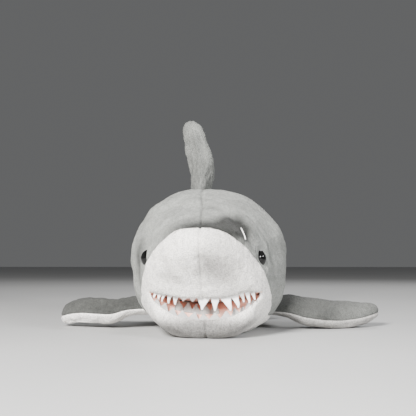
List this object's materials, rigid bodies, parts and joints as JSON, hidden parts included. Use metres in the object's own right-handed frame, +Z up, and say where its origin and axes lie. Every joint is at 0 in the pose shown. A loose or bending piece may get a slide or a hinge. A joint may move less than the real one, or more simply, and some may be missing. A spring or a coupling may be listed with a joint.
{
  "type": "plush shark",
  "caption": "Stuffed plush shark lying on its belly, with an open felt-toothed mouth, button eyes, and soft fins and tail that flap, lean and sway.",
  "frame": {"origin": "middle of the flat patch of the belly that the toy rests on, on the middle line, 150 mm behind the tip of the snout", "axes": "+X to the shark's left, -Y out along the snout, +Y towards the tail, +Z up"},
  "size_m": [0.2565, 0.3903, 0.1865],
  "materials": {
    "grey_plush": "matte",
    "white_plush": "matte",
    "pink_lining": "matte",
    "white_felt": "matte",
    "eye_plastic": "gloss",
    "washer_plastic": "matte",
    "fibre_filling": "matte"
  },
  "bodies": {
    "trunk": {"back_panel_left": "grey_plush", "back_panel_right": "grey_plush", "belly_panel_left": "white_plush", "belly_panel_right": "white_plush", "trunk_filling": "fibre_filling", "mouth_lining_upper": "pink_lining", "mouth_lining_lower": "pink_lining", "upper_teeth": "white_felt", "lower_teeth_front": "white_felt", "lower_teeth_back": "white_felt", "eye_left": "eye_plastic", "eye_right": "eye_plastic", "eye_washer_left": "washer_plastic", "eye_washer_right": "washer_plastic"},
    "pectoral_left": {"pectoral_left_top_panel": "grey_plush", "pectoral_left_under_panel": "white_plush", "pectoral_left_filling": "fibre_filling"},
    "pectoral_right": {"pectoral_right_top_panel": "grey_plush", "pectoral_right_under_panel": "white_plush", "pectoral_right_filling": "fibre_filling"},
    "dorsal": {"dorsal_panel_left": "grey_plush", "dorsal_panel_right": "grey_plush", "dorsal_filling": "fibre_filling"},
    "pelvic_left": {"pelvic_left_top_panel": "grey_plush", "pelvic_left_under_panel": "white_plush"},
    "pelvic_right": {"pelvic_right_top_panel": "grey_plush", "pelvic_right_under_panel": "white_plush"},
    "tail": {"tail_back_panel_left": "grey_plush", "tail_back_panel_right": "grey_plush", "tail_belly_panel_left": "white_plush", "tail_belly_panel_right": "white_plush", "tail_filling": "fibre_filling"},
    "second_dorsal": {"second_dorsal_panel_left": "grey_plush", "second_dorsal_panel_right": "grey_plush"},
    "anal_fin": {"anal_fin_panel_left": "grey_plush", "anal_fin_panel_right": "grey_plush"},
    "tail_fin": {"tail_fin_panel_left": "grey_plush", "tail_fin_panel_right": "grey_plush", "tail_fin_filling": "fibre_filling"}
  },
  "joints": [
    {"name": "pectoral_left_flap", "type": "hinge", "parent": "trunk", "child": "pectoral_left", "pos_m": [0.0663, -0.026, 0.019], "axis": [0, -0.9816, -0.1908], "range_deg": [-40, 50], "stiffness_Nm_per_rad": 0.05},
    {"name": "pectoral_right_flap", "type": "hinge", "parent": "trunk", "child": "pectoral_right", "pos_m": [-0.0663, -0.026, 0.019], "axis": [0, 0.9969, 0.0785], "range_deg": [-40, 50], "stiffness_Nm_per_rad": 0.05},
    {"name": "dorsal_lean", "type": "hinge", "parent": "trunk", "child": "dorsal", "pos_m": [-0.001, 0.028, 0.1109], "axis": [0, 0.9613, -0.2756], "range_deg": [-30, 40], "stiffness_Nm_per_rad": 0.06},
    {"name": "pelvic_left_flap", "type": "hinge", "parent": "trunk", "child": "pelvic_left", "pos_m": [0.0423, 0.072, 0.012], "axis": [0, -1, 0], "range_deg": [-25, 40], "stiffness_Nm_per_rad": 0.004},
    {"name": "pelvic_right_flap", "type": "hinge", "parent": "trunk", "child": "pelvic_right", "pos_m": [-0.0423, 0.072, 0.012], "axis": [0, 1, 0], "range_deg": [-25, 40], "stiffness_Nm_per_rad": 0.004},
    {"name": "tail_sway", "type": "hinge", "parent": "trunk", "child": "tail", "pos_m": [0, 0.122, 0.048], "axis": [0, 0, 1], "range_deg": [-30, 30], "stiffness_Nm_per_rad": 0.25},
    {"name": "second_dorsal_lean", "type": "hinge", "parent": "tail", "child": "second_dorsal", "pos_m": [0, 0.1535, 0.0705], "axis": [0, 0.9744, -0.225], "range_deg": [-35, 35], "stiffness_Nm_per_rad": 0.003},
    {"name": "anal_fin_lean", "type": "hinge", "parent": "tail", "child": "anal_fin", "pos_m": [0, 0.153, 0.0242], "axis": [0, 0.9744, 0.225], "range_deg": [-35, 35], "stiffness_Nm_per_rad": 0.003},
    {"name": "tail_fin_sway", "type": "hinge", "parent": "tail", "child": "tail_fin", "pos_m": [0, 0.187, 0.048], "axis": [0, 0, 1], "range_deg": [-30, 30], "stiffness_Nm_per_rad": 0.08}
  ]
}
